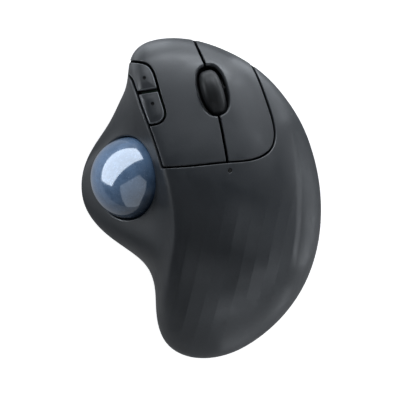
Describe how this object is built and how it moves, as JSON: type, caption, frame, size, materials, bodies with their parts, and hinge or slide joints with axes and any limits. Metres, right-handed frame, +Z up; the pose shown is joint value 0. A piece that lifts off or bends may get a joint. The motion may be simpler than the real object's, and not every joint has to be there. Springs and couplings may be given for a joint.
{
  "type": "trackball mouse",
  "caption": "Right-handed wireless mouse with a thumb-operated trackball, sculpted palm rest, click keys, scroll wheel and side buttons.",
  "frame": {"origin": "on the desk under the middle of the outline", "axes": "+Z up, +Y towards the fingertips, +X towards the little finger"},
  "size_m": [0.1002, 0.1336, 0.0479],
  "materials": {
    "graphite_plastic": "fine matte texture",
    "dark_plastic": "matte",
    "rubber": "smooth, soft",
    "ball_gloss": "glossy with a fine pearl speckle",
    "black_nylon": "satin",
    "ceramic": "polished",
    "circuit_board": "lacquered",
    "steel": "bright",
    "clear_plastic": "clear, polished",
    "cell_wrap": "printed wrap over a metal can",
    "contact_metal": "bright",
    "white_plastic": "satin"
  },
  "bodies": {
    "housing": {"upper_shell": "graphite_plastic", "base_shell": "dark_plastic", "status_light_pipe": "clear_plastic", "foot_front_left": "rubber", "foot_front_right": "rubber", "foot_left": "rubber", "foot_rear_left": "rubber", "foot_right": "rubber", "case_screw_1": "steel", "case_screw_2": "steel", "case_screw_3": "steel", "case_screw_4": "steel", "battery_cell": "cell_wrap", "battery_tray": "black_nylon", "battery_contact_plus": "contact_metal", "battery_spring": "steel", "usb_receiver": "steel", "ball_cage": "black_nylon", "support_ball_1": "ceramic", "support_ball_2": "ceramic", "support_ball_3": "ceramic", "cage_screw_1": "steel", "cage_screw_2": "steel", "sensor_lens": "clear_plastic", "sensor_chip": "black_nylon", "sensor_board": "circuit_board", "main_board": "circuit_board", "board_screw_1": "steel", "board_screw_2": "steel", "left_switch": "black_nylon", "right_switch": "black_nylon", "side_board": "circuit_board", "forward_switch": "black_nylon", "back_switch": "black_nylon", "cradle_pin": "steel", "middle_switch": "black_nylon", "cradle_spring": "steel", "encoder_emitter": "clear_plastic", "encoder_detector": "clear_plastic", "power_switch": "steel", "connect_switch": "black_nylon", "sensor_ribbon": "circuit_board"},
    "left_key": {"left_key": "graphite_plastic"},
    "right_key": {"right_key": "graphite_plastic"},
    "forward_button": {"forward_button": "graphite_plastic"},
    "back_button": {"back_button": "graphite_plastic"},
    "wheel_cradle": {"wheel_cradle": "black_nylon", "wheel_axle": "steel"},
    "wheel": {"wheel_tyre": "rubber", "wheel_hub": "black_nylon"},
    "ball": {"trackball": "ball_gloss"},
    "power_slider": {"power_slider": "white_plastic"},
    "connect_button": {"connect_button": "graphite_plastic"},
    "battery_door": {"battery_door": "dark_plastic"},
    "left_plunger": {"left_switch_plunger": "white_plastic"},
    "right_plunger": {"right_switch_plunger": "white_plastic"},
    "forward_plunger": {"forward_switch_plunger": "white_plastic"},
    "back_plunger": {"back_switch_plunger": "white_plastic"},
    "middle_plunger": {"middle_switch_plunger": "white_plastic"},
    "connect_plunger": {"connect_switch_plunger": "white_plastic"}
  },
  "joints": [
    {"name": "left_key_press", "type": "hinge", "parent": "housing", "child": "left_key", "pos_m": [-0.006, 0.0128, 0.038], "axis": [-1, 0, 0], "range_deg": [0, 0.55], "stiffness_Nm_per_rad": 0.3, "springref_deg": -5.73},
    {"name": "right_key_press", "type": "hinge", "parent": "housing", "child": "right_key", "pos_m": [0.018, 0.0146, 0.037], "axis": [-1, 0, 0], "range_deg": [0, 0.55], "stiffness_Nm_per_rad": 0.3, "springref_deg": -5.73},
    {"name": "forward_press", "type": "slide", "parent": "housing", "child": "forward_button", "axis": [0, 0, -1], "range_m": [0, 0.0005], "stiffness_N_per_m": 300, "springref_m": -0.002},
    {"name": "back_press", "type": "slide", "parent": "housing", "child": "back_button", "axis": [0, 0, -1], "range_m": [0, 0.0005], "stiffness_N_per_m": 300, "springref_m": -0.002},
    {"name": "cradle_tilt", "type": "hinge", "parent": "housing", "child": "wheel_cradle", "pos_m": [0.00956, 0.02525, 0.014], "axis": [-0.9617, -0.274, 0], "range_deg": [0, 1], "stiffness_Nm_per_rad": 0.3, "springref_deg": -4.58, "deforming": ["cradle_spring"]},
    {"name": "wheel_spin", "type": "hinge", "parent": "wheel_cradle", "child": "wheel", "pos_m": [0.0049, 0.0416, 0.022], "axis": [0.9617, 0.274, 0], "continuous": true},
    {"name": "ball_roll", "type": "hinge", "parent": "housing", "child": "ball", "pos_m": [-0.029, 0.0083, 0.0205], "axis": [1, 0, 0], "continuous": true},
    {"name": "power_slide", "type": "slide", "parent": "housing", "child": "power_slider", "axis": [1, 0, 0], "range_m": [0, 0.003]},
    {"name": "connect_press", "type": "slide", "parent": "housing", "child": "connect_button", "axis": [0, 0, 1], "range_m": [0, 0.0004], "stiffness_N_per_m": 300, "springref_m": -0.001},
    {"name": "door_slide", "type": "slide", "parent": "housing", "child": "battery_door", "axis": [0, -1, 0], "range_m": [0, 0.062]},
    {"name": "left_plunger_slide", "type": "slide", "parent": "housing", "child": "left_plunger", "axis": [0, 0, -1], "range_m": [0, 0.0006]},
    {"name": "right_plunger_slide", "type": "slide", "parent": "housing", "child": "right_plunger", "axis": [0, 0, -1], "range_m": [0, 0.0006]},
    {"name": "forward_plunger_slide", "type": "slide", "parent": "housing", "child": "forward_plunger", "axis": [0, 0, -1], "range_m": [0, 0.0005]},
    {"name": "back_plunger_slide", "type": "slide", "parent": "housing", "child": "back_plunger", "axis": [0, 0, -1], "range_m": [0, 0.0005]},
    {"name": "middle_plunger_slide", "type": "slide", "parent": "housing", "child": "middle_plunger", "axis": [0, 0, -1], "range_m": [0, 0.0006]},
    {"name": "connect_plunger_slide", "type": "slide", "parent": "housing", "child": "connect_plunger", "axis": [0, 0, 1], "range_m": [0, 0.0004]}
  ],
  "couplings": [
    {"joint": "left_plunger_slide", "follows": "left_key_press", "m_per_rad": 0.0372},
    {"joint": "right_plunger_slide", "follows": "right_key_press", "m_per_rad": 0.0294},
    {"joint": "forward_plunger_slide", "follows": "forward_press", "ratio": 1},
    {"joint": "back_plunger_slide", "follows": "back_press", "ratio": 1},
    {"joint": "middle_plunger_slide", "follows": "cradle_tilt", "m_per_rad": 0.029},
    {"joint": "connect_plunger_slide", "follows": "connect_press", "ratio": 1}
  ]
}
